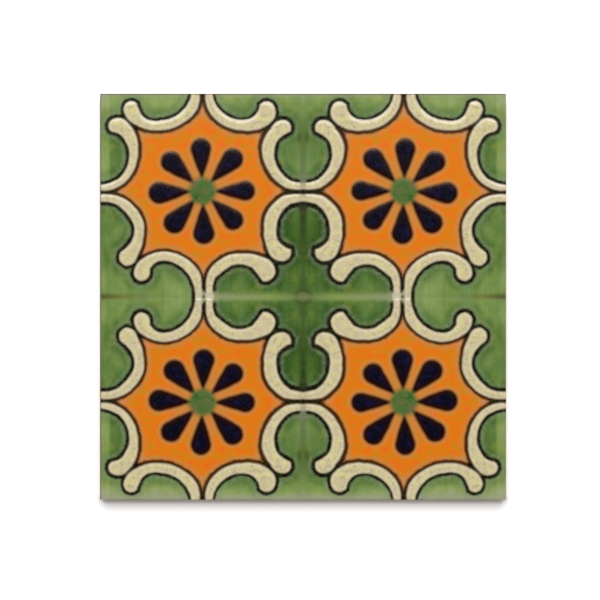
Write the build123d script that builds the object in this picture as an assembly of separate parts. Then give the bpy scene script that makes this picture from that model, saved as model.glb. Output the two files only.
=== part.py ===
from build123d import *
from math import acos, degrees
import os

# A glazed ceramic wall and floor tile, pressed and fired as one slab, lying on its keyed back.
# Its face repeats one drawn field four times, mirrored about both middle lines, and a shallow
# scored joint runs between the fields. Each field is a flower in a star, framed by eight cream
# scrolls. The scrolls, petals and flower centres are thick dabs of glaze that stand a little
# proud of the ground.
# +X is to the right and +Y up, as the face is seen, and Z = 0 is the surface it rests on.

# Slab
FIELD = 100.0
SIDE = 2 * FIELD
THICKNESS = 8.0
CORNER_RADIUS = 0.6
ARRIS_RADIUS = 0.5
BACK_BEVEL = 0.5

# Relief of the glazed face
DAB_RISE = 0.3
JOINT_WIDTH = 2.6
JOINT_DEPTH = 0.45

# Keyed back: a grid of shallow pockets inside a plain rim
POCKETS_PER_SIDE = 6
POCKET_DEPTH = 0.8
BACK_RIM = 8.0
RIB_WIDTH = 4.0

# Flower, set out from a point a little above the middle of the field
FLOWER_OFFSET = (0.4, 2.0)
CENTRE_RADIUS = 6.4
# Each petal: direction in degrees, how far out its tip and its round end lie, radius of that end
PETALS = [
    (0.5, 7.3, 20.9, 4.7),
    (48.1, 7.0, 21.9, 5.2),
    (91.9, 7.3, 21.0, 5.0),
    (135.4, 6.5, 21.1, 5.2),
    (181.3, 6.6, 21.3, 5.3),
    (228.3, 6.1, 20.7, 5.3),
    (272.0, 7.5, 20.8, 5.2),
    (316.7, 6.9, 21.0, 5.1),
]

# Each scroll is drawn freehand from one edge of the field, so its points are (distance along
# that edge from its middle, distance in from it): out along the side that faces the star,
# round the knob at its end, and back along the side that faces the green. Every arc of its
# outline runs through three of them, the last of which starts the next arc.
SCROLLS = {
    "top": [
        [(-1.0, 0), (-1.1, 4), (-2.4, 8), (-5.7, 12), (-11.1, 15.5), (-16.7, 17.7), (-22.0, 18.1),
         (-27.7, 17.4), (-33.7, 14.5), (-37.8, 10), (-38.4, 7.5), (-34.0, 3.8), (-31.9, 4.8),
         (-30.5, 8.5), (-29.3, 10.8), (-26.0, 12.9), (-20.0, 13.1), (-14.1, 11.7), (-8.8, 7.8),
         (-6.0, 3.2), (-5.1, 0)],
        [(2.0, 0), (2.4, 6), (5.9, 11.8), (11.7, 16.1), (19.9, 18.1), (27.7, 17.7), (34.0, 14.2),
         (36.4, 10), (35.3, 5.5), (31.6, 3.9), (28.7, 5.5), (27.1, 9.6), (23.8, 12.1),
         (16.7, 12.1), (10.2, 8.5), (6.7, 3.9), (5.6, 0)],
    ],
    "left": [
        [(2.3, 0), (2.4, 4), (3.7, 8.5), (9.3, 14.9), (15.0, 17.7), (21.3, 18.8), (27.0, 18.4),
         (31.6, 16.8), (35.8, 13.5), (37.9, 10), (37.0, 5.7), (33.9, 4.1), (31.2, 6.2),
         (29.6, 10), (26.3, 12.4), (21.7, 14), (18.0, 13.9), (13.6, 12.4), (8.8, 8.9), (6.5, 4),
         (5.8, 0)],
        [(0.3, 0), (0.3, 5), (-0.5, 9), (-2.4, 13.1), (-5.8, 17), (-10.4, 20.2), (-16.4, 21.8),
         (-22.4, 21.2), (-30.5, 18.1), (-33.9, 15.8), (-34.7, 12.4), (-31.9, 9.7), (-28.0, 10.1),
         (-25.6, 13.1), (-22.4, 15.6), (-17.4, 16.9), (-12.8, 15.8), (-8.6, 12.8), (-4.7, 8.2),
         (-3.3, 3.2), (-3.3, 0)],
    ],
    "right": [
        [(2.6, 0), (2.6, 5), (3.9, 8.6), (7.4, 12.8), (11.6, 16.3), (17.4, 19.3), (22.8, 20.3),
         (27.9, 19.2), (32.6, 16), (36.3, 12.8), (37.0, 9.3), (34.9, 6.3), (31.2, 6.4),
         (29.5, 9.6), (26.5, 12.8), (22.0, 14.2), (16.8, 13.7), (11.8, 11.4), (8.1, 7.8),
         (6.4, 3.2), (6.4, 0)],
        [(0.4, 0), (0.4, 6), (-0.2, 9.3), (-2.4, 12.8), (-6.1, 16.3), (-10.4, 18.6),
         (-16.4, 19.2), (-22.4, 18.8), (-27.3, 17.2), (-31.2, 14.6), (-32.4, 10.7),
         (-30.7, 6.8), (-26.8, 6.1), (-25.0, 9.6), (-22.0, 12.6), (-16.7, 13.2), (-11.8, 12.3),
         (-7.4, 9.8), (-4.2, 6.1), (-3.2, 3), (-3.0, 0)],
    ],
    "bottom": [
        [(0.0, 0), (0.0, 6), (-0.4, 10.6), (-2.6, 14.2), (-6.9, 18.3), (-12.2, 21.1),
         (-18.5, 22.3), (-24.5, 21.2), (-29.1, 18.8), (-32.3, 15.3), (-33.4, 11.4),
         (-32.4, 9.0), (-29.5, 7.7), (-26.5, 9.4), (-25.4, 13.5), (-22.6, 16.7), (-17.1, 17.6),
         (-12.5, 16.1), (-8.3, 13), (-5.1, 8.4), (-3.0, 0)],
        [(2.2, 0), (2.1, 6), (2.6, 11), (5.1, 15.3), (9.0, 18.6), (13.6, 20.9), (19.2, 21.5),
         (26.3, 20.7), (31.6, 19), (35.1, 16.3), (36.3, 12.4), (34.4, 8.7), (30.3, 7.7),
         (28.0, 10.5), (25.2, 14.2), (21.0, 15.7), (14.6, 15.1), (10.4, 12.4), (6.8, 9.1),
         (5.7, 5), (5.6, 0)],
    ],
}

GROUND_LEVEL = THICKNESS - DAB_RISE
HALF_FIELD = FIELD / 2


def on_field(edge, along, inward):
    """The place in the field, measured from its middle, of a point given from one of its edges."""
    return Vector({
        "top": (along, HALF_FIELD - inward),
        "bottom": (along, inward - HALF_FIELD),
        "left": (inward - HALF_FIELD, along),
        "right": (HALF_FIELD - inward, along),
    }[edge])


def scroll_outline(edge, points):
    """One cream scroll: a chain of arcs through its points, closed along the field's edge."""
    drawn = [on_field(edge, along, inward) for along, inward in points]
    arcs = [ThreePointArc(*drawn[first:first + 3]) for first in range(0, len(drawn) - 1, 2)]
    return make_face(arcs + [Line(drawn[-1], drawn[0])])


def petal_outline(direction, tip, middle, radius):
    """A teardrop: a round end, and two straight sides that touch it and meet in the tip."""
    lean = degrees(acos(radius / (middle - tip)))
    touch = Vector(-radius, 0).rotate(Axis.Z, lean)
    sides = make_face(Polyline(
        (tip, 0),
        (middle + touch.X, touch.Y),
        (middle + touch.X, -touch.Y),
        close=True,
    ))
    round_end = Pos(middle, 0) * Circle(radius)
    return Pos(*FLOWER_OFFSET) * Rot(Z=direction) * (round_end + sides)


def on_every_field(drawing):
    """A drawing made on the upper left field, and its mirror images on the other fields."""
    drawing = Pos(-HALF_FIELD, HALF_FIELD) * drawing
    drawing += mirror(drawing, Plane.YZ)
    return drawing + mirror(drawing, Plane.XZ)


def raised_dabs():
    """The scrolls, petals and flower centres of the whole face."""
    dabs = Pos(*FLOWER_OFFSET) * Circle(CENTRE_RADIUS)
    for petal in PETALS:
        dabs += petal_outline(*petal)
    for edge, pair in SCROLLS.items():
        for points in pair:
            dabs += scroll_outline(edge, points)
    return on_every_field(dabs)


def pressed_slab():
    """The plain slab: rolled face arris, broken back edge and a grid of keying pockets."""
    slab = extrude(RectangleRounded(SIDE, SIDE, CORNER_RADIUS), THICKNESS)
    slab = fillet(slab.faces().sort_by(Axis.Z)[-1].edges(), ARRIS_RADIUS)
    slab = chamfer(slab.faces().sort_by(Axis.Z)[0].edges(), BACK_BEVEL)
    pitch = (SIDE - 2 * BACK_RIM + RIB_WIDTH) / POCKETS_PER_SIDE
    pocket = Rectangle(pitch - RIB_WIDTH, pitch - RIB_WIDTH)
    places = GridLocations(pitch, pitch, POCKETS_PER_SIDE, POCKETS_PER_SIDE)
    return slab - extrude(Sketch() + [place * pocket for place in places], POCKET_DEPTH)


def scored_joint():
    """A round-bottomed groove across the whole face, along X, in the middle between two fields."""
    half = JOINT_WIDTH / 2
    wheel_radius = (half**2 + JOINT_DEPTH**2) / (2 * JOINT_DEPTH)
    height = THICKNESS - JOINT_DEPTH + wheel_radius
    return Pos(0, 0, height) * Rot(Y=90) * Cylinder(wheel_radius, SIDE + 2 * ARRIS_RADIUS)


def glazed_tile():
    """The slab with its ground lowered round the dabs, and the two scored joints."""
    ground = Rectangle(SIDE + ARRIS_RADIUS, SIDE + ARRIS_RADIUS) - raised_dabs()
    tile = pressed_slab()
    tile -= Pos(0, 0, GROUND_LEVEL) * extrude(ground, DAB_RISE)
    tile -= scored_joint()
    tile -= Rot(Z=90) * scored_joint()
    return tile


if __name__ == "__main__":
    os.makedirs("parts", exist_ok=True)
    export_step(glazed_tile(), "parts/tile.step")
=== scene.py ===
import math

import bpy
import numpy as np
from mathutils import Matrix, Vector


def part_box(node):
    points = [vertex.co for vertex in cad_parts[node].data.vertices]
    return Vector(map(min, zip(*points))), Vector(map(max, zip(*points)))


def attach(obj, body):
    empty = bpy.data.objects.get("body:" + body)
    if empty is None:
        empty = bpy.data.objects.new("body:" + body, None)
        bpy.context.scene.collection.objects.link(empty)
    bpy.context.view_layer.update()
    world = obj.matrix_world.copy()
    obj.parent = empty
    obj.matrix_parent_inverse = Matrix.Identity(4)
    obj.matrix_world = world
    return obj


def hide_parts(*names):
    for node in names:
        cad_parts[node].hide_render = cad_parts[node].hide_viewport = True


# A glazed ceramic tile of four mirrored fields, lying face up. Lengths are worked out in
# millimetres and turned to metres where a mesh is made. A place on the face is (u, v), its
# distances from the two middle lines, so that one drawing serves all four fields.

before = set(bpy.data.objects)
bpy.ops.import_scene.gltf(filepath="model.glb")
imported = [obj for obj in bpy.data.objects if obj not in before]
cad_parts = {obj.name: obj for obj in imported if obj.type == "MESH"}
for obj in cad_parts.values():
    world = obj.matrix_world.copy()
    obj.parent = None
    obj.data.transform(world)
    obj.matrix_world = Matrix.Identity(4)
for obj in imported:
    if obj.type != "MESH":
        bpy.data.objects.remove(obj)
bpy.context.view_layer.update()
_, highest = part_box("tile")

MM = 0.001
HALF = highest.x / MM  # from the tile's middle to its side
TOP = highest.z / MM  # top of the raised dabs
FIELD_MIDDLE = HALF / 2

# Slab
CORNER_RADIUS = 0.6
ARRIS = 0.5
BACK_BEVEL = 0.5
GLAZE_BED = 6.9  # level of the fired body under the glaze
GLAZE_STOP = 5.7  # mean level at which the glaze stops on the sides
GLAZE_SKIRT = 0.14  # thickness of the glaze there, a little into the body
BODY_INSET = 0.12  # from the glazed side in to the body's own

# Relief of the glazed face. At the solid's full rise the dabs would glint in plain light, so
# their crowns take a share of it.
DAB_RISE = 0.3
GROUND = TOP - DAB_RISE
GROUND_SWELL = 0.014
CROWN_RISE = DAB_RISE - 0.004
SCROLL_SHARE = 0.78
FLOWER_SHARE = 0.42
SCROLL_SHOULDER = 3.2  # width over which a dab rounds up to its crown
PETAL_SHOULDER = 3.0
CENTRE_SHOULDER = 4.0
LINE_DEPTH = 0.03
JOINT_DEPTH = 0.4
JOINT_HALF_WIDTH = 2.2
JOINT_FLOOR_HALF_WIDTH = 0.36

# Keyed back
POCKETS_PER_SIDE = 6
POCKET_DEPTH = 0.8
POCKET_DRAFT = 0.7  # plan width of a pocket's sloping wall
BACK_RIM = 8.0
RIB_WIDTH = 4.0

# Flower: its centre's offset from the field's middle, and each petal's direction in degrees,
# distance of its tip, distance and radius of its round end
FLOWER_OFFSET = (0.4, 2.0)
CENTRE_RADIUS = 6.4
PETALS = [
    (0.2, 6.7, 21.1, 4.8),
    (46.8, 6.3, 21.6, 5.2),
    (92.0, 6.6, 20.9, 5.0),
    (136.8, 5.9, 21.1, 5.1),
    (182.6, 6.0, 21.3, 5.3),
    (228.4, 5.6, 20.8, 5.3),
    (272.0, 6.8, 20.9, 5.2),
    (316.9, 6.2, 20.8, 5.0),
]
PETAL_BULGE = 0.38  # how far the sides swell past a straight line, from near the tip

# Scrolls, in the order that they follow round the star, clockwise from the top: the edge that
# each starts from, the width of its dark line on the star's side, round the knob and on the
# green side, and its points, each (along the edge from its middle, inward from it). Every arc
# runs through three of them, and the first nine points lie on the star's side.
POINTS_ON_STAR = 9
SCROLLS = [
    ("top", (1.80, 1.80, 1.45), [
        (2.0, 0), (2.4, 6), (5.9, 11.8), (11.7, 16.1), (19.9, 18.1), (27.7, 17.7),
        (34.0, 14.2), (36.4, 10), (35.3, 5.5), (31.6, 3.9), (28.7, 5.5), (27.1, 9.6),
        (23.8, 12.3), (16.6, 12.6), (9.9, 8.9), (6.4, 4.0), (5.3, 0)]),
    ("right", (2.00, 2.10, 1.80), [
        (3.0, 0), (2.9, 5), (3.8, 8.8), (6.9, 13.2), (11.3, 16.6), (17.3, 19.5),
        (22.8, 20.3), (27.9, 19.2), (32.6, 16), (36.3, 12.8), (37.0, 9.3),
        (34.9, 6.3), (31.2, 6.4), (29.5, 9.6), (26.5, 12.8), (22.0, 14.2),
        (16.8, 13.7), (11.8, 11.4), (8.1, 7.8), (6.4, 3.2), (6.4, 0)]),
    ("right", (1.85, 2.15, 2.00), [
        (0.4, 0), (0.4, 6), (-0.2, 9.3), (-2.4, 12.8), (-6.1, 16.3), (-10.4, 18.6),
        (-16.4, 19.2), (-22.4, 18.8), (-27.3, 17.2), (-31.2, 14.6), (-32.4, 10.7),
        (-30.7, 6.8), (-26.8, 6.1), (-25.0, 9.6), (-22.0, 12.6), (-16.7, 13.2),
        (-11.8, 12.3), (-7.4, 9.8), (-4.2, 6.1), (-3.7, 3.2), (-3.0, 0)]),
    ("bottom", (1.75, 2.00, 1.70), [
        (2.2, 0), (2.2, 6), (2.8, 10.9), (5.3, 15.1), (9.2, 18.3), (13.7, 20.6),
        (19.2, 21.3), (26.3, 20.7), (31.6, 19), (35.1, 16.3), (36.3, 12.4),
        (34.4, 8.7), (30.3, 7.7), (28.0, 10.5), (25.2, 14.2), (21.0, 15.7),
        (14.6, 15.1), (10.4, 12.4), (6.6, 9.1), (5.5, 5), (5.6, 0)]),
    ("bottom", (1.50, 1.85, 1.75), [
        (0.0, 0), (0.0, 6), (-0.4, 10.6), (-2.6, 14.2), (-6.9, 18.3),
        (-12.2, 21.1), (-18.5, 22.3), (-24.5, 21.2), (-29.1, 18.8), (-32.3, 15.3),
        (-33.4, 11.4), (-32.4, 9.0), (-29.5, 7.7), (-26.5, 9.4), (-25.4, 13.5),
        (-22.6, 16.7), (-17.1, 17.6), (-12.5, 16.1), (-8.3, 13), (-5.1, 8.4),
        (-3.0, 0)]),
    ("left", (1.65, 1.75, 1.80), [
        (0.3, 0), (0.3, 5), (-0.5, 9), (-2.4, 13.1), (-5.8, 17), (-10.4, 20.2),
        (-16.4, 21.8), (-22.4, 21.2), (-30.5, 18.1), (-33.9, 15.8), (-34.7, 12.4),
        (-31.9, 9.7), (-28.0, 10.1), (-25.6, 13.1), (-22.4, 15.6), (-17.4, 16.9),
        (-12.8, 15.8), (-8.6, 12.8), (-4.7, 8.2), (-3.3, 3.2), (-3.3, 0)]),
    ("left", (1.85, 1.95, 1.65), [
        (2.3, 0), (2.4, 4), (3.7, 8.5), (9.3, 14.9), (15.0, 17.7), (21.3, 18.8),
        (27.0, 18.4), (31.6, 16.8), (35.8, 13.5), (37.9, 10), (37.0, 5.7),
        (33.9, 4.1), (31.2, 6.3), (29.5, 10.1), (26.2, 12.6), (21.7, 14.3), (17.8, 14.3),
        (13.2, 13.0), (8.2, 9.3), (5.8, 4.1), (5.1, 0)]),
    ("top", (1.70, 1.75, 1.50), [
        (-1.0, 0), (-1.1, 4), (-2.4, 8), (-5.7, 12), (-11.1, 15.5), (-16.7, 17.7),
        (-22.0, 18.1), (-27.7, 17.4), (-33.7, 14.5), (-37.8, 10), (-38.4, 7.5),
        (-34.0, 3.8), (-31.9, 4.8), (-30.5, 8.5), (-29.3, 10.8), (-26.0, 12.9),
        (-20.0, 13.1), (-14.1, 11.7), (-8.8, 7.8), (-6.0, 3.2), (-5.1, 0)]),
]
# True where the star's outline, clockwise, follows a scroll from its edge to its knob, and
# False where it comes back from the knob to the edge
OUTWARD_FIRST = (True, False, True, False, True, False, True, False)
MELT_REACH = 0.45  # how near two scrolls have to come for their outlines to flow together
WIDTH_REACH = 0.6  # how near two arcs have to be for their lines to share one width
BETWEEN_REACH = 1.2  # how far from midway between two scrolls a place counts as between
# Where the ink of two scrolls ran together behind a point of the star: u, v and added width
INK_BLOTS = [
    (82.6, 84.2, 1.1), (17.6, 83.4, 0.5), (16.8, 19.2, 0.6), (80.6, 19.6, 0.4),
    (0.0, 45.4, 0.5), (5.4, 43.8, 0.7), (54.3, 0.3, 0.5),
]
BLOT_SPREAD = 3.2  # square of the distance over which a blot fades

# Where the green ran thin (+) or pooled (-): u, v, how wide and high the patch is, and how much
GREEN_PATCHES = [
    (9, 33, 5, 11, -0.12), (14, 35, 4, 5, -0.30), (7, 21, 4, 9, -0.13), (15, 5, 6, 4, 0.10),
    (30, 15, 8, 4, 0.10), (12, 93, 12, 5, -0.18), (30, 92, 8, 6, -0.13), (84, 68, 9, 10, 0.17),
    (88, 38, 10, 12, 0.08), (84, 33, 4, 6, 0.10), (56, 4, 6, 6, 0.30), (64, 2, 8, 5, 0.26),
    (75, 1, 8, 4, 0.12), (80, 3, 4, 3, 0.14), (98, 9, 3, 7, 0.26), (96, 49, 3, 12, 0.15),
    (66, 8, 8, 6, 0.08), (2, 64, 3, 7, 0.20), (3, 40, 4, 4, 0.05), (14, 18, 5, 5, -0.12),
    (93, 16, 3, 4, -0.10), (98, 94, 3, 5, -0.30), (1.5, 95.5, 4, 3, -0.12),
]

# Grid of one field's glaze
FACE_STEPS = 291
ARRIS_STEPS = 5
SIDE_STEPS = 3
EDGE_SPACING = 0.17  # of the lines that go over the edge, along the surface
ARRIS_BLEND = 0.05  # how softly the relief ends at the rolled arris


# Plane geometry of the drawing


def ease(value, low, high):
    """0 below low, 1 above high and a smooth S between them."""
    t = np.clip((value - low) / (high - low), 0, 1)
    return t * t * (3 - 2 * t)


def point_to_point(place, *points):
    """The value at a place, on straight lines through points of (place, value)."""
    return np.interp(place, *zip(*points))


def on_field(edge, along, inward):
    """The place in the field, measured from its middle, of a point given from one of its edges."""
    return {
        "top": (along, FIELD_MIDDLE - inward),
        "bottom": (along, inward - FIELD_MIDDLE),
        "left": (inward - FIELD_MIDDLE, along),
        "right": (FIELD_MIDDLE - inward, along),
    }[edge]


def circle_through(a, b, c):
    """Centre and radius of the circle through three points, where their bisectors cross."""
    (ax, ay), (bx, by), (cx, cy) = a, b, c
    twice_area = 2 * (ax * (by - cy) + bx * (cy - ay) + cx * (ay - by))
    aa, bb, cc = ax * ax + ay * ay, bx * bx + by * by, cx * cx + cy * cy
    x = (aa * (by - cy) + bb * (cy - ay) + cc * (ay - by)) / twice_area
    y = (aa * (cx - bx) + bb * (ax - cx) + cc * (bx - ax)) / twice_area
    return x, y, math.hypot(ax - x, ay - y)


def turn_of(a, b, c):
    """Centre, radius, first angle and signed turn of the arc that goes from a by b to c."""
    x, y, radius = circle_through(a, b, c)
    first, middle, last = (math.atan2(p[1] - y, p[0] - x) for p in (a, b, c))
    full = 2 * math.pi
    turn = (last - first) % full
    if (middle - first) % full > turn:
        turn -= full
    return x, y, radius, first, turn


def distance_to_arc(x, y, a, b, c):
    """How far each place is from an arc: within its span the difference between the radius and
    the distance to its centre, and elsewhere the distance to the nearer end."""
    cx, cy, radius, first, turn = turn_of(a, b, c)
    angle = (np.arctan2(y - cy, x - cx) - first) * math.copysign(1, turn) % (2 * math.pi)
    beside = np.abs(np.hypot(x - cx, y - cy) - radius)
    ends = np.minimum(np.hypot(x - a[0], y - a[1]), np.hypot(x - c[0], y - c[1]))
    return np.where(angle <= abs(turn), beside, ends)


def along_arc(a, b, c, steps=10):
    """Points along an arc at even angles, without its last one."""
    x, y, radius, first, turn = turn_of(a, b, c)
    angles = first + turn * np.arange(steps) / steps
    return np.column_stack([x + radius * np.cos(angles), y + radius * np.sin(angles)])


def is_inside(x, y, outline):
    """True where a line to the right crosses the closed outline an odd number of times."""
    odd = np.zeros(x.shape, bool)
    for (x0, y0), (x1, y1) in zip(outline, np.roll(outline, -1, axis=0)):
        if y0 != y1:
            crossed = (y0 > y) != (y1 > y)
            odd ^= crossed & (x < (x1 - x0) * (y - y0) / (y1 - y0) + x0)
    return odd


def triples(points):
    """The three points of each arc of a chain: first to third, third to fifth, and so on."""
    return [points[k:k + 3] for k in range(0, len(points) - 2, 2)]


def inside_scroll(x, y, edge, points, line_widths):
    """Signed distance to a scroll's chain of arcs, positive inside, and the width of the dark
    line beside the nearest arc. The straight lines that close the chain outside its field
    count for the sign alone, so a scroll runs on over the edge of the field."""
    arcs = triples([on_field(edge, *point) for point in points])
    distances = np.stack([distance_to_arc(x, y, *arc) for arc in arcs])
    last_along, first_along = points[-1][0], points[0][0]
    beyond = [on_field(edge, last_along, 0), on_field(edge, last_along, -2),
              on_field(edge, first_along, -2)]
    outline = np.vstack([*(along_arc(*arc) for arc in arcs), beyond])
    nearest = distances.min(0)
    share = (np.arange(len(arcs)) + 0.5) / len(arcs)
    on_star, on_knob, on_green = line_widths
    swelling = point_to_point(
        share, (0.3, on_star), (0.48, on_knob), (0.62, on_knob), (0.8, on_green))
    weight = np.exp((nearest - distances) / WIDTH_REACH)
    width = np.tensordot(swelling, weight, 1) / weight.sum(0)
    return np.where(is_inside(x, y, outline), nearest, -nearest), width


def inside_petal(x, y, direction, tip, middle, radius):
    """Signed distance to a teardrop, positive inside: past its shoulders the distance to the
    round end's circle, and else to the side that touches the circle and ends in the tip, a
    straight line that swells towards the blunt tip. Both are measured across and along the
    petal."""
    turn = math.radians(direction)
    out = x * math.cos(turn) + y * math.sin(turn)
    across = np.abs(y * math.cos(turn) - x * math.sin(turn))
    length = middle - tip
    lean = radius / length
    slope = math.sqrt(1 - lean * lean)
    inward = middle - out
    swelling = PETAL_BULGE * (1 - ease(out, middle - 0.55 * length, middle - 0.1 * length))
    on_side = across * slope + inward * lean - radius - swelling
    past_round = inward * slope - across * lean < 0
    past_tip = inward * slope - across * lean > length * slope
    outside = np.where(past_round, np.hypot(across, inward) - radius, on_side)
    return -np.where(past_tip, np.hypot(across, out - tip) - swelling, outside)


def melt_together(layers, reach):
    """A soft maximum of several distances, so that lines which nearly touch flow together."""
    layers = np.stack(layers)
    return layers.max(0) + reach * np.log(np.exp((layers - layers.max(0)) / reach).sum(0))


def draw_field(u, v):
    """Signed distances, positive inside, to the scrolls, the star and the petals of the field
    that a place lies on, the distance from the flower's centre, the dark line's width, and how
    nearly a place is midway between two scrolls."""
    x, y = FIELD_MIDDLE - u, v - FIELD_MIDDLE
    scrolls, widths, star = [], [], []
    for (edge, line_widths, points), outward_first in zip(SCROLLS, OUTWARD_FIRST):
        inside, width = inside_scroll(x, y, edge, points, line_widths)
        scrolls.append(inside)
        widths.append(width)
        side = [on_field(edge, *point) for point in points[:POINTS_ON_STAR]]
        star.append(np.vstack([*(along_arc(*arc) for arc in triples(side)), [side[-1]]]))
        if not outward_first:
            star[-1] = star[-1][::-1]
    cream = melt_together(scrolls, MELT_REACH)
    line = np.take_along_axis(np.stack(widths), np.argmax(scrolls, axis=0)[None], axis=0)[0]
    for blot_u, blot_v, extra in INK_BLOTS:
        line = line + extra * np.exp(-((u - blot_u) ** 2 + (v - blot_v) ** 2) / BLOT_SPREAD)
    in_star = is_inside(x, y, np.vstack(star))
    farther, nearer = np.sort(scrolls, axis=0)[-2:]
    fx, fy = x - FLOWER_OFFSET[0], y - FLOWER_OFFSET[1]
    petal = np.max([inside_petal(fx, fy, *p) for p in PETALS], axis=0)
    return {
        "cream": cream,
        "star": np.where(in_star, np.abs(cream), -np.abs(cream)),
        "petal": petal,
        "flower": np.hypot(fx, fy),
        "line": line,
        "between": np.exp((farther - nearer) / BETWEEN_REACH),
    }


# Relief and thickness of the glaze


def lower_of(a, b, blend):
    """The lower of two heights, rounded over where they cross."""
    h = np.clip(0.5 + 0.5 * (b - a) / blend, 0, 1)
    return b + (a - b) * h - blend * h * (1 - h)


def face_height(u, v, drawn):
    """Height of the glaze: a ground that swells faintly as the product of two sines, dabs that
    round up from their edge as 1 - (1 - t)^2, a channel sin^2 deep along the outlines, and at
    both scored joints a sink to the groove's floor that falls off in a smooth S."""
    def dab(inside, shoulder):
        return 1 - (1 - np.clip(inside / shoulder, 0, 1)) ** 2

    crown = np.maximum.reduce([
        SCROLL_SHARE * dab(drawn["cream"], SCROLL_SHOULDER),
        FLOWER_SHARE * dab(drawn["petal"], PETAL_SHOULDER),
        FLOWER_SHARE * dab(CENTRE_RADIUS - drawn["flower"], CENTRE_SHOULDER),
    ])
    across = np.clip(-drawn["cream"] / drawn["line"], 0, 1)
    swell = np.sin(u * 0.31 + 1.3 * np.sin(v * 0.17)) * np.sin(v * 0.27 + u * 0.05)
    height = GROUND + GROUND_SWELL * swell * (1 - crown) + CROWN_RISE * crown
    height -= LINE_DEPTH * np.sin(math.pi * across) ** 2
    for from_joint in (u, v):
        sink = 1 - ease(from_joint, JOINT_FLOOR_HALF_WIDTH, JOINT_HALF_WIDTH)
        height = height + (TOP - JOINT_DEPTH - height) * sink
    return height


def glaze_thinness(u, v, drawn):
    """How thin, and so how pale, the green lies: 0 where it pooled and 1 where it ran thin. It
    is thin along the tile's outer sides and thick towards the middle and under the scrolls,
    with a soft patch, exp(-r^2), at each of the listed places."""
    gap = -drawn["cream"]
    thin = 0.31 + 0.28 * ease(u, 15, 60)
    thin += 0.40 * ease(v, 84, 97)
    thin += 0.30 * ease(v, 45, 70) * (1 - ease(u, 15, 60))
    strip = ease(u, 94.3, 96.3)
    thin += strip * (0.36 * ease(v, 45, 60) - 0.07)
    thin -= 0.07 * ease(u, 84, 88) * (1 - strip) * ease(v, 18, 26) * (1 - ease(v, 78, 84))
    thin += 0.16 * ease(u, 78, 88) * (1 - ease(v, 8, 22))
    thin -= 0.22 * (1 - ease(gap, 3, 8))
    for at_u, at_v, wide, high, change in GREEN_PATCHES:
        thin += change * np.exp(-((u - at_u) / wide) ** 2 - ((v - at_v) / high) ** 2)
    return np.clip(thin, 0, 1.25)


def joint_tones(u, v):
    """Colour along the level joint and along the upright one, and dark patches beside them. A
    band's strength, and the low and high distance from the joint between which it fades out,
    change from point to point along it. The level one is strong at both ends and covers the
    lines where the scrolls cross it, all but a dot between them. The upright one is dark near
    the middle and grey farther out. A dark patch is exp(-r^2) of the distance from a ring round
    the tile's middle, or from a place beside the joint."""
    strength = point_to_point(
        u, (0, 0.9), (42, 0.85), (43.5, 0.95), (52.6, 0.95), (53.3, 0), (55, 0), (55.8, 0.5),
        (58, 0.35), (74, 0.35), (77.5, 0.5), (79.5, 0.6), (82, 0.4), (86, 0.75), (91, 0.95),
        (99, 0.95), (100, 0.4))
    low = 1.1 * ease(u, 41.5, 43.5) * (1 - ease(u, 52, 53))
    high = point_to_point(
        u, (41, 3.4), (42, 4.2), (44, 3.4), (48, 2.4), (49.5, 4.6), (52, 4.8), (53, 2.6),
        (54, 3.4), (80, 3.4), (86, 2.3))
    level = strength * (1 - ease(v, low, high))
    level *= 1 - 0.75 * np.exp(-(((u - 49.1) / 1.1) ** 2 + (v / 0.9) ** 2))

    strength = point_to_point(
        v, (2.2, 0), (3.4, 0.7), (17, 0.65), (22, 0.8), (30, 0.92), (43, 0.9), (46.9, 0.9),
        (47.6, 0.2), (50, 0.2), (50.5, 0), (52.9, 0.1), (53.6, 0.6), (56, 0.9), (60, 0.9),
        (74, 0.85), (79, 0.7), (87, 0.75), (92, 0.3))
    low = point_to_point(
        v, (40, 0), (44, 1.9), (47, 1.9), (54, 0.8), (57, 0.8), (59, 1.4), (61, 0.5),
        (76, 0.5), (82, 0.8))
    high = point_to_point(
        v, (40, 3.2), (44, 2.8), (47, 2.8), (54, 2.2), (57, 2.3), (59, 3.3), (61, 2.2),
        (76, 2.6), (82, 4.4))
    upright = strength * (1 - ease(u, low, high))

    dark_patch = 0.62 * np.exp(-(((np.hypot(u / 3.9, v / 3.4) - 1) / 0.34) ** 2))
    dark_patch *= 1 - 0.75 * ease(u, 2, 4) * np.exp(-((v / 1.6) ** 2))
    dark_patch += 0.7 * np.exp(-(((u - 1.9) / 1.1) ** 2 + ((v - 77.9) / 2.8) ** 2))
    return level, upright, dark_patch


# Meshes


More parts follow.
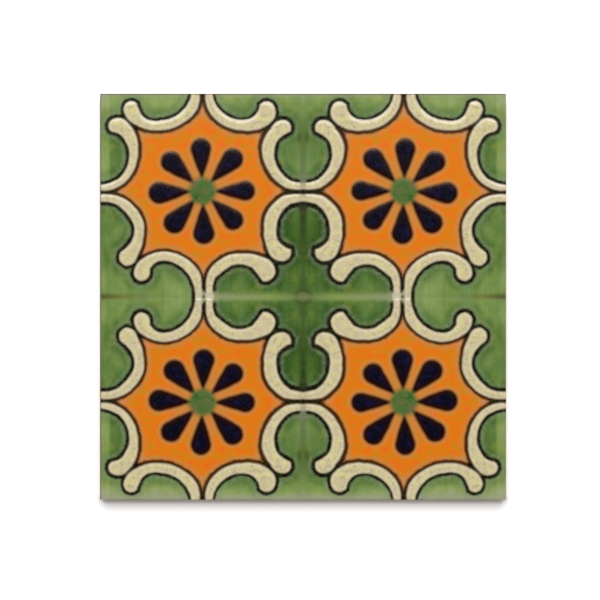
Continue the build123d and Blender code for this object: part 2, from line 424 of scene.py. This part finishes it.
def make_piece(name, coordinates, faces, uv, floats=None):
    """A mesh object at the origin, from coordinates in millimetres and whole face arrays: one
    array of smooth quads and a list of flat many-sided faces, whose edges are kept sharp."""
    quads, polygons = faces
    loops = np.concatenate([quads.ravel(), *polygons]).astype(np.int32)
    sizes = np.concatenate([np.full(len(quads), 4), [len(p) for p in polygons]])
    mesh = bpy.data.meshes.new(name)
    mesh.vertices.add(len(coordinates))
    mesh.vertices.foreach_set("co", (coordinates * MM).astype(np.float32).ravel())
    mesh.loops.add(len(loops))
    mesh.loops.foreach_set("vertex_index", loops)
    mesh.polygons.add(len(sizes))
    starts = np.concatenate([[0], np.cumsum(sizes)[:-1]]).astype(np.int32)
    mesh.polygons.foreach_set("loop_start", starts)
    mesh.update(calc_edges=True)
    mesh.polygons.foreach_set("use_smooth", sizes == 4)
    ends = np.empty(2 * len(mesh.edges), np.int32)
    mesh.edges.foreach_get("vertices", ends)
    borders = np.concatenate([np.stack([p, np.roll(p, -1)], axis=1) for p in polygons])
    numbered = [
        pairs.astype(np.int64).min(1) * len(coordinates) + pairs.max(1)
        for pairs in (ends.reshape(-1, 2), borders)
    ]
    sharp = mesh.attributes.new("sharp_edge", "BOOLEAN", "EDGE")
    sharp.data.foreach_set("value", np.isin(*numbered))
    layer = mesh.uv_layers.new(name="OFBake")
    layer.uv.foreach_set("vector", uv[loops].astype(np.float32).ravel())
    for key, values in (floats or {}).items():
        attribute = mesh.attributes.new(key, "FLOAT", "POINT")
        attribute.data.foreach_set("value", values.astype(np.float32).ravel())
    mesh.validate()
    mesh.update()
    piece = bpy.data.objects.new(name, mesh)
    bpy.context.scene.collection.objects.link(piece)
    return piece


def grid_quads(rows, columns):
    """Quads over a grid whose vertices are numbered row by row, turned to face +Z where the
    first index runs along +X and the second along +Y."""
    index = np.arange(rows * columns).reshape(rows, columns)
    corners = (index[:-1, :-1], index[1:, :-1], index[1:, 1:], index[:-1, 1:])
    return np.stack([c.ravel() for c in corners], axis=1)


def round_corner(outer, along, first, second, centre, arc_start):
    """Plan places of a grid whose last lines go over the edge. outer is each line's distance
    from the middle and along its length over the surface. Past arc_start on both axes a place
    goes out from the corner's centre, as far as the outer of its two lines."""
    k = np.maximum(first, second)
    a, b = along[first] - arc_start, along[second] - arc_start
    at_corner = (a > 0) & (b > 0)
    norm = np.where(at_corner, np.hypot(a, b), 1)
    reach = outer[k] - centre
    x = np.where(at_corner, centre + reach * a / norm, outer[first])
    y = np.where(at_corner, centre + reach * b / norm, outer[second])
    return x, y, k


def glaze_edge(s):
    """Height at which the glaze stops on the side, s along the perimeter: a few waves that
    close round the whole tile, as dipped or poured glaze runs down unevenly."""
    round_trip = 2 * math.pi * s / (8 * HALF)
    # each wave's number of swells round the tile, its height and where it starts
    waves = [(23, 0.30, 0.4), (41, 0.22, 2.1), (67, 0.16, 4.4), (118, 0.10, 1.0)]
    return GLAZE_STOP + sum(size * np.sin(n * round_trip + turn) for n, size, turn in waves)


def make_field(name, x_side, y_side):
    """The glaze of one field: a closed skin that lies on the bisque, with the relief on top,
    the rolled arris and a skirt down the tile's side. Where x_side times y_side is negative it
    is a mirror image, so its faces are turned round."""
    face_end = HALF - ARRIS
    roll = np.linspace(0, math.pi / 2, ARRIS_STEPS + 1)[1:]
    # under the skirt the skin turns in, and goes back up inside it to the bed
    lip = [HALF - 0.05, HALF - GLAZE_SKIRT, HALF - GLAZE_SKIRT]
    outer = np.concatenate([
        np.linspace(0, face_end, FACE_STEPS + 1),
        face_end + ARRIS * np.sin(roll),
        np.full(SIDE_STEPS, HALF),
        lip,
    ])
    roll_drop = np.concatenate([
        np.zeros(FACE_STEPS + 1),
        ARRIS * (1 - np.cos(roll)),
        np.full(SIDE_STEPS + len(lip), ARRIS),
    ])
    along = np.arange(len(outer)) * face_end / FACE_STEPS
    along[FACE_STEPS:] = face_end + np.arange(len(outer) - FACE_STEPS) * EDGE_SPACING
    count = len(outer)
    first, second = np.meshgrid(np.arange(count), np.arange(count), indexing="ij")
    u, v, k = round_corner(
        outer, along, first, second, HALF - CORNER_RADIUS, HALF - CORNER_RADIUS)
    drawn = draw_field(u, v)
    z = lower_of(face_height(u, v, drawn), TOP - roll_drop[k], ARRIS_BLEND)

    corner_number = {(1, 1): 1, (-1, 1): 2, (-1, -1): 3, (1, -1): 4}[x_side, y_side]
    stop = glaze_edge(2 * HALF * corner_number + (v - u) * x_side * y_side)
    roll_end = TOP - ARRIS
    past_roll = k - (FACE_STEPS + ARRIS_STEPS)
    down = np.clip(past_roll / SIDE_STEPS, 0, 1)
    z = np.where(past_roll > 0, roll_end + (stop - roll_end) * down, z)
    for step, level in enumerate((stop - 0.07, stop - 0.04, GLAZE_BED), SIDE_STEPS + 1):
        z = np.where(past_roll == step, level, z)

    coordinates = np.stack([x_side * u, y_side * v, z], axis=-1).reshape(-1, 3)
    coordinates = np.vstack([coordinates, [0, 0, GLAZE_BED]])
    index = np.arange(count * count).reshape(count, count)
    under = count * count
    quads = grid_quads(count, count)
    walls = [
        np.concatenate([index[0, :], [under]]),
        np.concatenate([index[::-1, 0], [under]]),
        np.concatenate([[under], index[:-1, -1], index[-1, ::-1]]),
    ]
    if x_side * y_side < 0:
        quads = quads[:, ::-1]
        walls = [w[::-1] for w in walls]
    # the grid fills the map up to 0.985, and the vertex under the tile's middle lies past that
    grid_uv = np.stack([first, second], axis=-1).reshape(-1, 2) / (count - 1) * 0.98 + 0.005
    uv = np.vstack([grid_uv, [0.995, 0.995]])
    drawn["thin"] = glaze_thinness(u, v, drawn)
    drawn["level_joint"], drawn["upright_joint"], drawn["dark_patch"] = joint_tones(u, v)
    floats = {key: np.append(value.ravel(), 0) for key, value in drawn.items()}
    return make_piece(name, coordinates, (quads, walls), uv, floats)


def pocket_lines(outer_end):
    """Grid lines across the back from the middle outward: close together at each pocket's
    drafted wall and wide apart over its floor and the ribs."""
    pitch = (2 * HALF - 2 * BACK_RIM + RIB_WIDTH) / POCKETS_PER_SIDE
    half = (pitch - RIB_WIDTH) / 2
    middles = pitch * (np.arange(POCKETS_PER_SIDE // 2) + 0.5)
    # where the lines lie, from the middle of a wall and from the middle of a pocket
    wall = np.array([-0.55, -0.35, -0.18, 0, 0.18, 0.35, 0.55])
    floor = np.array([-9.0, -4.5, 0, 4.5, 9.0])
    lines = [np.concatenate([m - half + wall, m + floor, m + half + wall]) for m in middles]
    return np.concatenate([[0], *lines, [outer_end - 3, outer_end]]), middles, half


def make_body():
    """The fired body: a keyed back of drafted pockets, a broken back edge, and sides that
    stand a little inside the glaze's skirt. The grid is wrapped round all four sides and
    closed by one face under the glaze."""
    back_end = HALF - BODY_INSET - BACK_BEVEL
    lines, middles, half = pocket_lines(back_end)
    # past the flat back: two lines round the broken edge, then three up the side
    bevel = BACK_BEVEL * np.array([0.5, 1, 1, 1, 1])
    levels = [0.44 * BACK_BEVEL, BACK_BEVEL, 2.6, 4.8, GLAZE_BED]
    outer = np.concatenate([lines, back_end + bevel])
    rise = np.concatenate([np.zeros(len(lines)), levels])
    along = np.concatenate([lines, back_end + 0.3 * np.arange(1, len(levels) + 1)])
    count = len(outer)
    signed = np.arange(1 - count, count)
    first, second = np.meshgrid(signed, signed, indexing="ij")
    corner = back_end - CORNER_RADIUS
    x, y, k = round_corner(outer, along, abs(first), abs(second), corner, corner)
    foot = half + POCKET_DRAFT / 2
    in_x, in_y = (
        np.max([ease(foot - abs(place - m), 0, POCKET_DRAFT) for m in middles], axis=0)
        for place in (x, y)
    )
    z = np.maximum(rise[k], POCKET_DEPTH * in_x * in_y)
    coordinates = np.stack([x * np.sign(first), y * np.sign(second), z], axis=-1)
    size = 2 * count - 1
    index = np.arange(size * size).reshape(size, size)
    quads = grid_quads(size, size)[:, ::-1]
    lid = np.concatenate([index[:-1, 0], index[-1, :-1], index[:0:-1, -1], index[0, :0:-1]])
    uv = (np.stack([first, second], axis=-1).reshape(-1, 2) / (count - 1) * 0.49) + 0.5
    return make_piece("fired_body", coordinates.reshape(-1, 3), (quads, [lid]), uv)


# Materials


def colour(code):
    """An sRGB hex colour as the linear values that Blender works in, opaque."""
    parts = [int(code[k:k + 2], 16) / 255 for k in (0, 2, 4)]
    return [c / 12.92 if c <= 0.04045 else ((c + 0.055) / 1.055) ** 2.4 for c in parts] + [1.0]


def set_stops(ramp, stops):
    """Gives a ramp the hex colour, or the plain level, that it has at each place."""
    while len(ramp.elements) < len(stops):
        ramp.elements.new(0.5)
    for element, (place, shade) in zip(ramp.elements, stops):
        element.position = place
        element.color = colour(shade) if isinstance(shade, str) else (shade, shade, shade, 1)


def add(tree, kind, inputs, output=0, stops=(), **settings):
    """Adds a node, sets its own settings and its ramp's stops, and gives each input a value, a
    hex colour or a link. Returns one of its outputs."""
    node = tree.nodes.new("ShaderNode" + kind)
    for key, value in settings.items():
        setattr(node, key, value)
    if stops:
        set_stops(node.color_ramp, stops)
    for key, value in inputs.items():
        if isinstance(value, bpy.types.NodeSocket):
            tree.links.new(value, node.inputs[key])
        else:
            node.inputs[key].default_value = colour(value) if isinstance(value, str) else value
    return node.outputs[output] if node.outputs else None


def new_material(name):
    """An empty node material and its tree."""
    material = bpy.data.materials.new(name)
    material.use_nodes = True
    material.node_tree.nodes.clear()
    return material, material.node_tree


SMOOTH = {"interpolation_type": "SMOOTHSTEP"}  # a range that is crossed in a smooth S


def lay_coat(tree, under, over, *shares):
    """One colour laid over another, which it covers by the product of its shares. A share is a
    value by itself, or (value, low, high, start, end): a smooth S from start to end, or from 0
    to 1 where these aren't given, as the value goes from low to high."""
    cover, *others = (
        add(tree, "MapRange", dict(enumerate(share)), **SMOOTH)
        if isinstance(share, tuple) else share
        for share in shares
    )
    for other in others:
        cover = add(tree, "Math", {0: cover, 1: other}, operation="MULTIPLY")
    return add(tree, "Mix", {0: cover, 6: under, 7: over}, 2, data_type="RGBA")


def sway(tree, value, pattern, reach):
    """A value that wanders with a pattern, by up to half of reach each way."""
    departure = add(tree, "Math", {0: pattern, 1: 0.5}, operation="SUBTRACT")
    return add(tree, "Math", {0: departure, 1: reach, 2: value}, operation="MULTIPLY_ADD")


def glaze_material():
    """Opaque coloured lead-type glazes, painted between waxy dark outlines and fired glossy.
    To the eye: flat strong colours that pool and thin, soft haloes beside the lines, and a
    wet gloss that only shows where the surface leans. All distances are in millimetres."""
    material, tree = new_material("painted_glossy_glaze")
    place = add(tree, "TexCoord", {}, "Object")
    millimetres = add(tree, "VectorMath", {0: place, "Scale": 1 / MM}, operation="SCALE")
    mirrored = add(tree, "VectorMath", {0: millimetres}, operation="ABSOLUTE")
    u, v, _ = add(tree, "SeparateXYZ", {0: mirrored}).node.outputs
    x, y, _ = add(tree, "SeparateXYZ", {0: millimetres}).node.outputs
    drawn = {
        name: add(tree, "Attribute", {}, "Fac", attribute_name=name)
        for name in ("cream", "star", "petal", "flower", "line", "between", "thin",
                     "level_joint", "upright_joint", "dark_patch")
    }

    # each pattern's size, detail, roughness and stretch, and whether the four fields share it
    even = (1, 1, 1)
    pattern = {}
    for name, size, detail, roughness, stretch, where in (
        ("cloud", 9.0, 3.0, 0.5, even, mirrored),
        ("tint", 6.5, 2.0, 0.5, even, mirrored),
        ("hand", 4.5, 1.0, 0.5, even, mirrored),
        ("blotch", 3.2, 2.0, 0.5, even, mirrored),
        ("patch", 3.0, 1.0, 0.5, even, mirrored),
        ("streak", 2.2, 2.0, 0.5, (1, 0.14, 1), mirrored),
        ("brushed", 1.8, 2.0, 0.5, (0.35, 1, 1), mirrored),
        ("fleck", 1.7, 3.0, 0.6, even, mirrored),
        ("grain", 0.9, 3.0, 0.6, even, mirrored),
        ("ripple", 5.0, 2.0, 0.5, even, millimetres),
        ("skin", 0.6, 2.0, 0.5, even, millimetres),
    ):
        squeezed = add(tree, "VectorMath", {0: where, 1: stretch}, operation="MULTIPLY")
        pattern[name] = add(tree, "TexNoise", {
            "Vector": squeezed, "Scale": 1 / size, "Detail": detail, "Roughness": roughness})

    # where the painter's hand strayed from the drawing
    hand = sway(tree, 0.0, pattern["hand"], 0.5)
    gap = add(tree, "Math", {0: hand, 1: drawn["cream"]}, operation="SUBTRACT")
    inside = add(tree, "Math", {0: gap, 1: -1.0}, operation="MULTIPLY")
    petal = add(tree, "Math", {0: drawn["petal"], 1: hand}, operation="ADD")
    centre = add(tree, "Math", {0: CENTRE_RADIUS, 1: drawn["flower"]}, operation="SUBTRACT")
    centre = add(tree, "Math", {0: centre, 1: hand}, operation="ADD")
    star_side = add(tree, "MapRange", {0: drawn["star"], 1: -0.4, 2: 0.4}, **SMOOTH)

    # green ground
    thin = drawn["thin"]
    for name, reach in (("cloud", 0.55), ("streak", 0.30), ("grain", 0.16)):
        thin = sway(tree, thin, pattern[name], reach)
    low_down = add(tree, "MapRange", {0: y, 1: 9 - HALF, 2: 3 - HALF, 4: 0.13}, **SMOOTH)
    thin = add(tree, "Math", {0: thin, 1: low_down}, operation="ADD")
    thin = add(tree, "Math", {0: thin, 1: 0.8}, operation="MULTIPLY")
    green = add(tree, "ValToRGB", {0: thin}, stops=(
        (0.0, "33501B"), (0.2, "476628"), (0.4, "5E7B3D"), (0.6, "77904C"), (0.8, "91A361"),
        (1.0, "A2AA80")))
    green = lay_coat(tree, green, "91A044", (pattern["tint"], 0.52, 0.72, 0.0, 0.28))
    green = lay_coat(tree, green, "5E8A56", (pattern["tint"], 0.48, 0.28, 0.0, 0.24))
    green = lay_coat(
        tree, green, "929A82", (gap, 5.0, 2.2), (pattern["fleck"], 0.38, 0.66, 0.16, 0.46))

    # paler and greyer just inside the tile's outer sides, most along the lower one
    pale = 0.0
    for distance, low, high, most in (
        (y, 4 - HALF, 1 - HALF, 0.45),
        (y, HALF - 2.2, HALF - 1, 0.25),
        (u, HALF - 2, HALF - 0.7, 0.08),
    ):
        side = add(tree, "MapRange", {0: distance, 1: low, 2: high, 4: most}, **SMOOTH)
        pale = add(tree, "Math", {0: pale, 1: side}, operation="MAXIMUM")
    green = lay_coat(tree, green, "A3A096", pale)

    # orange ground of the star, duller beside the outlines, round the centre and by the petals
    warm = sway(tree, pattern["patch"], pattern["brushed"], 0.45)
    warm = sway(tree, warm, pattern["grain"], 0.25)
    orange = add(tree, "ValToRGB", {0: warm}, stops=(
        (0.3, "D4861C"), (0.45, "E47F14"), (0.6, "EA7A16"), (0.78, "EF6C22")))
    orange = lay_coat(
        tree, orange, "C28C4F", (gap, 4.8, 1.9), (pattern["fleck"], 0.35, 0.6, 0.35, 0.85))
    orange = lay_coat(tree, orange, "B68A48", (drawn["flower"], 20.0, 12.0, 0.0, 0.35))
    orange = lay_coat(tree, orange, "CC8D50", (petal, -2.6, -0.6, 0.0, 0.72))
    ground = lay_coat(tree, green, orange, star_side)

    # dark outline, brown along the star and black elsewhere, with a pale smear off its tips
    width = sway(tree, drawn["line"], pattern["blotch"], 1.2)
    beyond = add(tree, "Math", {0: gap, 1: width}, operation="SUBTRACT")
    ground = lay_coat(
        tree, ground, "C79C80", (beyond, 2.4, 0.3, 0.0, 0.6), drawn["between"], star_side)
    ink = lay_coat(tree, "0E0F03", "2C2F14", (pattern["fleck"], 0.4, 0.65))
    ink = lay_coat(tree, ink, "4C2603", star_side, (drawn["between"], 0.5, 0.1))
    face = lay_coat(tree, ground, ink, (beyond, 0.75, -0.75))

    # cream scrolls
    mottled = add(tree, "Mix", {0: 0.4, 2: pattern["fleck"], 3: pattern["blotch"]})
    cream = add(tree, "ValToRGB", {0: mottled}, stops=(
        (0.34, "B6A97C"), (0.44, "CAC093"), (0.52, "D4C998"), (0.58, "DCD38F"),
        (0.68, "D6D4A2")))
    cream = lay_coat(tree, cream, "D3BFA4", (pattern["patch"], 0.48, 0.66, 0.0, 0.7))
    cream = lay_coat(
        tree, cream, "DFD1B2", (inside, 2.1, 0.8), (pattern["fleck"], 0.35, 0.6, 0.3, 0.9))
    face = lay_coat(tree, face, cream, (inside, -0.58, 0.85))

    # petals and flower centre
    navy = add(tree, "ValToRGB", {0: pattern["patch"]}, stops=(
        (0.25, "0A1820"), (0.42, "070716"), (0.55, "0D0C22"), (0.75, "19163B")))
    navy = lay_coat(tree, "250700", navy, (petal, 0.8, 3.0))
    face = lay_coat(tree, face, navy, (petal, -1.2, 0.85))
    heart = add(tree, "ValToRGB", {0: pattern["patch"]}, stops=(
        (0.28, "3A5E26"), (0.45, "517034"), (0.55, "577038"), (0.72, "76644A")))
    heart = lay_coat(tree, heart, "806848", (drawn["flower"], 2.6, 0.6, 0.0, 0.25))
    face = lay_coat(tree, face, heart, (centre, -2.2, 1.6))

    # colour bands along the scored joints, from the middle of the tile to its sides
    outward = add(tree, "Math", {0: u, 1: HALF}, operation="DIVIDE")
    level = add(tree, "ValToRGB", {0: outward}, stops=(
        (0.0, "7A7A58"), (0.05, "788A50"), (0.17, "8AA058"), (0.4, "969C70"), (0.62, "879C60"),
        (0.79, "667A4A"), (0.88, "76783A"), (0.98, "54582F")))
    level = lay_coat(tree, level, "CCC4A8", (inside, -1.3, 0.3))
    face = lay_coat(tree, face, level, drawn["level_joint"])
    outward = add(tree, "Math", {0: v, 1: HALF}, operation="DIVIDE")
    upright = add(tree, "ValToRGB", {0: outward}, stops=(
        (0.04, "3E4F26"), (0.22, "3D4E22"), (0.34, "2E3C15"), (0.46, "2A2C1A"),
        (0.56, "80846A"), (0.64, "6A7A50"), (0.79, "53662E"), (0.91, "728650"),
        (1.0, "808A68")))
    upright = lay_coat(tree, upright, "9E987E", (inside, -0.4, 0.4))
    face = lay_coat(
        tree, face, upright, drawn["upright_joint"], (pattern["fleck"], 0.3, 0.6, 0.7, 1.0))
    # dark green patches round the tile's middle and beside the upright joint
    face = lay_coat(tree, face, "42511F", drawn["dark_patch"])

    # glaze run thin and dark over the arris all round, and on the left and top sides a stronger
    # dark line that is painted shade of the rolled edge
    edge = add(tree, "Math", {0: u, 1: v}, operation="MAXIMUM")
    left = add(tree, "Math", {0: x, 1: -1.0}, operation="MULTIPLY")
    shaded_left_top = add(tree, "Math", {0: left, 1: y}, operation="MAXIMUM")
    dark = 0.0
    for distance, low, high, most in (
        # painted shade: a strong dark line along the left and top arris only
        (shaded_left_top, HALF - 0.7, HALF - 0.3, 0.7),
        (edge, HALF - 0.6, HALF - 0.2, 0.16),
    ):
        side = add(tree, "MapRange", {0: distance, 1: low, 2: high, 4: most}, **SMOOTH)
        dark = add(tree, "Math", {0: dark, 1: side}, operation="ADD")
    face = lay_coat(tree, face, "2E2E20", dark)

    height = add(tree, "Math", {0: pattern["skin"], 1: 0.12, 2: pattern["ripple"]},
                 operation="MULTIPLY_ADD")
    bump = add(tree, "Bump", {"Height": height, "Distance": 0.05 * MM, "Strength": 0.6})
    rough = add(tree, "MapRange", {0: pattern["grain"], 1: 0.3, 2: 0.7, 3: 0.12, 4: 0.2},
                **SMOOTH)
    glaze = add(tree, "BsdfPrincipled", {
        "Base Color": face, "Roughness": rough, "IOR": 1.5, "Normal": bump})
    add(tree, "OutputMaterial", {0: glaze})
    return material


def bisque_material():
    """Earthenware, dry-pressed and fired once, unglazed: buff to pale red, matt and sandy,
    with darker grog and a chalky bloom from the kiln shelf."""
    material, tree = new_material("unglazed_earthenware")
    place = add(tree, "TexCoord", {}, "Object")
    cloud, grog, sand = (
        add(tree, "TexNoise", {"Vector": place, "Scale": 1 / (size * MM), "Detail": detail})
        for size, detail in ((22.0, 3.0), (1.6, 1.0), (0.5, 4.0))
    )
    body = "B98A68"
    for grains, low, high, most, shade in (
        (cloud, 0.3, 0.7, 1.0, "CDA37F"),
        (grog, 0.66, 0.74, 0.5, "8A5A40"),
        (sand, 0.45, 0.7, 0.35, "DCC6AC"),
    ):
        share = add(tree, "MapRange", {0: grains, 1: low, 2: high, 4: most})
        body = lay_coat(tree, body, shade, share)
    bump = add(tree, "Bump", {"Height": sand, "Distance": 0.12 * MM, "Strength": 0.7})
    clay = add(tree, "BsdfPrincipled", {
        "Base Color": body, "Roughness": 0.88, "IOR": 1.45, "Normal": bump})
    add(tree, "OutputMaterial", {0: clay})
    return material


def table_material():
    """Matt white table. Seen by the camera, or in a gloss, it glows: a little round the tile,
    so that the tile's soft shade there stays faint, less in the shadow below it, and fully far
    away, where the table runs into the white room. All distances are in metres."""
    material, tree = new_material("white_table")
    place = add(tree, "TexCoord", {}, "Object")
    _, y, _ = add(tree, "SeparateXYZ", {0: place}).node.outputs
    mirrored = add(tree, "VectorMath", {0: place}, operation="ABSOLUTE")
    past = add(tree, "VectorMath", {0: mirrored, 1: (HALF * MM, HALF * MM, 1)},
               operation="SUBTRACT")
    past = add(tree, "VectorMath", {0: past, 1: (0, 0, 0)}, operation="MAXIMUM")
    away = add(tree, "VectorMath", {0: past}, "Value", operation="LENGTH")
    glow, below, close_by = (
        add(tree, "MapRange", dict(enumerate(share)), **SMOOTH)
        for share in (
            (away, 0.02, 0.25, 0.2, 1.0),
            (y, (3 - HALF) * MM, (-1 - HALF) * MM, 0.0, 1.0),
            (away, 0.0008, 0.003, 1.0, 0.0),
        )
    )
    shadow = add(tree, "Math", {0: below, 1: close_by}, operation="MULTIPLY")
    lit = add(tree, "Math", {0: 1.0, 1: shadow}, operation="SUBTRACT")
    glow = add(tree, "Math", {0: glow, 1: lit}, operation="MULTIPLY")
    rays = add(tree, "LightPath", {}).node.outputs
    seen = rays["Is Camera Ray"]
    for ray in ("Is Glossy Ray", "Is Transmission Ray"):
        seen = add(tree, "Math", {0: seen, 1: rays[ray]}, operation="MAXIMUM")
    strength = add(tree, "Math", {0: glow, 1: seen}, operation="MULTIPLY")
    matt = add(tree, "BsdfDiffuse", {"Color": "FFFFFF"})
    light = add(tree, "Emission", {"Strength": strength})
    both = add(tree, "AddShader", {0: matt, 1: light})
    add(tree, "OutputMaterial", {0: both})
    return material


# The tile

glaze = glaze_material()
bisque = bisque_material()

body = make_body()
body.data.materials.append(bisque)
pieces = [body]
for name, x_side, y_side in (
    ("glaze_upper_left", -1, 1),
    ("glaze_upper_right", 1, 1),
    ("glaze_lower_left", -1, -1),
    ("glaze_lower_right", 1, -1),
):
    field = make_field(name, x_side, y_side)
    field.data.materials.append(glaze)
    pieces.append(field)
for piece in pieces:
    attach(piece, "root")
    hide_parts("tile")

# Table, light and camera

table_mesh = bpy.data.meshes.new("table")
reach = 3.0  # metres, far enough for the table to fill the picture
table_mesh.from_pydata(
    [(-reach, -reach, 0), (reach, -reach, 0), (reach, reach, 0), (-reach, reach, 0)],
    [], [(0, 1, 2, 3)])
table = bpy.data.objects.new("table", table_mesh)
table_mesh.materials.append(table_material())
bpy.context.scene.collection.objects.link(table)


def set_sky():
    """Even white light from all round, with a soft dark patch straight overhead, where a real
    photographer's camera and hands are, so that the flat gloss stays deep."""
    world = bpy.data.worlds.new("soft_box_room")
    bpy.context.scene.world = world
    world.use_nodes = True
    tree = world.node_tree
    tree.nodes.clear()
    direction = add(tree, "TexCoord", {}, "Generated")
    height = add(tree, "SeparateXYZ", {0: direction}, "Z")
    light = add(tree, "ValToRGB", {0: height}, stops=(
        (0.3, 0.42), (0.84, 0.32), (0.93, 0.08), (0.98, 0.01)))
    seen = add(tree, "LightPath", {}, "Is Camera Ray")
    strength = add(tree, "Mix", {0: seen, 2: light, 3: 1.0})
    sky = add(tree, "Background", {"Color": "FFFFFF", "Strength": strength})
    add(tree, "OutputWorld", {0: sky})


def add_lamp(name, place, width, height, power):
    """A soft box of that width and height in metres, aimed at the tile."""
    light = bpy.data.lights.new(name, "AREA")
    light.shape = "RECTANGLE"
    light.size = width
    light.size_y = height
    light.energy = power
    lamp = bpy.data.objects.new(name, light)
    lamp.location = place
    lamp.rotation_euler = Vector(place).to_track_quat("Z", "Y").to_euler()
    bpy.context.scene.collection.objects.link(lamp)


set_sky()
add_lamp("key_soft_box", (0.0, 2.04, 3.30), 3.0, 2.4, 138.0)

# The camera stands where the tile is as large in the render as in the photo, and in the same
# place. Sizes in the photo are in pixels, and those of the lens in millimetres.
PHOTO_SIDE = 600
TILE_IN_PHOTO = 406.2
TILE_CENTRE_IN_PHOTO = (303.1, 296.7)
LENS = 120.0
SENSOR = 36.0
pixel = 2 * HALF * MM / TILE_IN_PHOTO
distance = pixel * PHOTO_SIDE * LENS / SENSOR
lens = bpy.data.cameras.new("camera")
lens.lens = LENS
lens.sensor_width = SENSOR
lens.clip_start = 0.01
camera = bpy.data.objects.new("camera", lens)
camera.location = (
    (PHOTO_SIDE / 2 - TILE_CENTRE_IN_PHOTO[0]) * pixel,
    (TILE_CENTRE_IN_PHOTO[1] - PHOTO_SIDE / 2) * pixel,
    TOP * MM + distance,
)
bpy.context.scene.collection.objects.link(camera)
bpy.context.scene.camera = camera
bpy.context.scene.view_settings.view_transform = "Standard"
